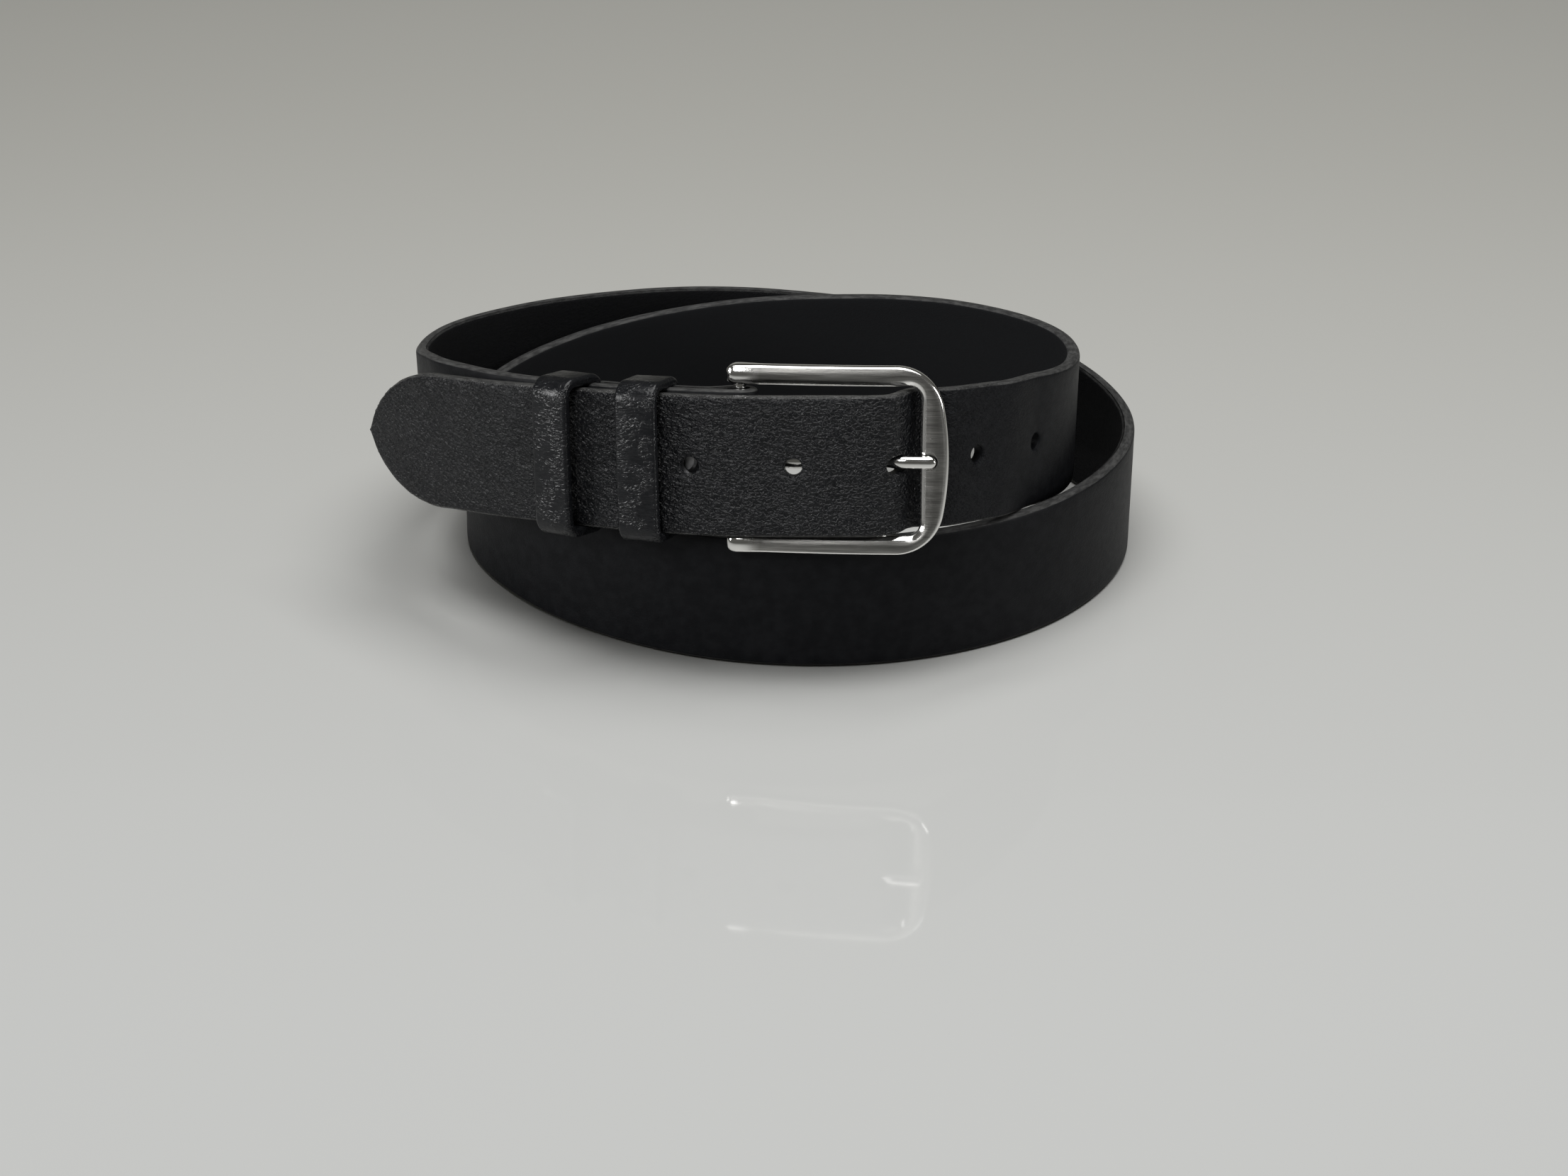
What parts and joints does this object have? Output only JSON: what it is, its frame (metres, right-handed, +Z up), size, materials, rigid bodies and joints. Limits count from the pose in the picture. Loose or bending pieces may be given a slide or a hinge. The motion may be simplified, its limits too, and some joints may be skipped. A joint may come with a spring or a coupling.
{
  "type": "leather belt with pin buckle",
  "caption": "Black leather dress belt, fastened by a pin buckle and stood on edge in a loose coil, with a fixed and a sliding keeper.",
  "frame": {"origin": "middle of the footprint, on the floor", "axes": "+Z up across the strap's width, +X to the buckle's front bar side as seen from the front, buckle faces -Y"},
  "size_m": [0.204, 0.1786, 0.0814],
  "materials": {
    "black_strap_leather": "fine pebbled grain, semi-matt, painted edges",
    "black_keeper_leather": "smooth semi-gloss",
    "satin_nickel": "brushed along the bars, polished bevels",
    "polished_nickel": "polished",
    "dark_steel": "dark satin"
  },
  "bodies": {
    "strap": {"strap": "black_strap_leather", "keeper_fixed": "black_keeper_leather", "fold_post_1": "dark_steel", "fold_screw_1": "dark_steel", "fold_post_2": "dark_steel", "fold_screw_2": "dark_steel"},
    "buckle": {"buckle_frame": "satin_nickel", "heel_bar": "polished_nickel"},
    "prong": {"prong": "polished_nickel"},
    "keeper_free": {"keeper_free": "black_keeper_leather"}
  },
  "joints": [
    {"name": "buckle_swing", "type": "hinge", "parent": "strap", "child": "buckle", "pos_m": [-0.00401, -0.07553, 0.0568], "axis": [0.0128, -0.2189, -0.9757], "range_deg": [0, 12], "deforming": ["strap"]},
    {"name": "prong_lift", "type": "hinge", "parent": "buckle", "child": "prong", "pos_m": [-0.00401, -0.07553, 0.0568], "axis": [0.0128, -0.2189, -0.9757], "range_deg": [0, 10], "deforming": ["strap"]},
    {"name": "keeper_slide", "type": "slide", "parent": "strap", "child": "keeper_free", "axis": [-0.8152, 0.5621, -0.1394], "range_m": [-0.001, 0.003]}
  ]
}
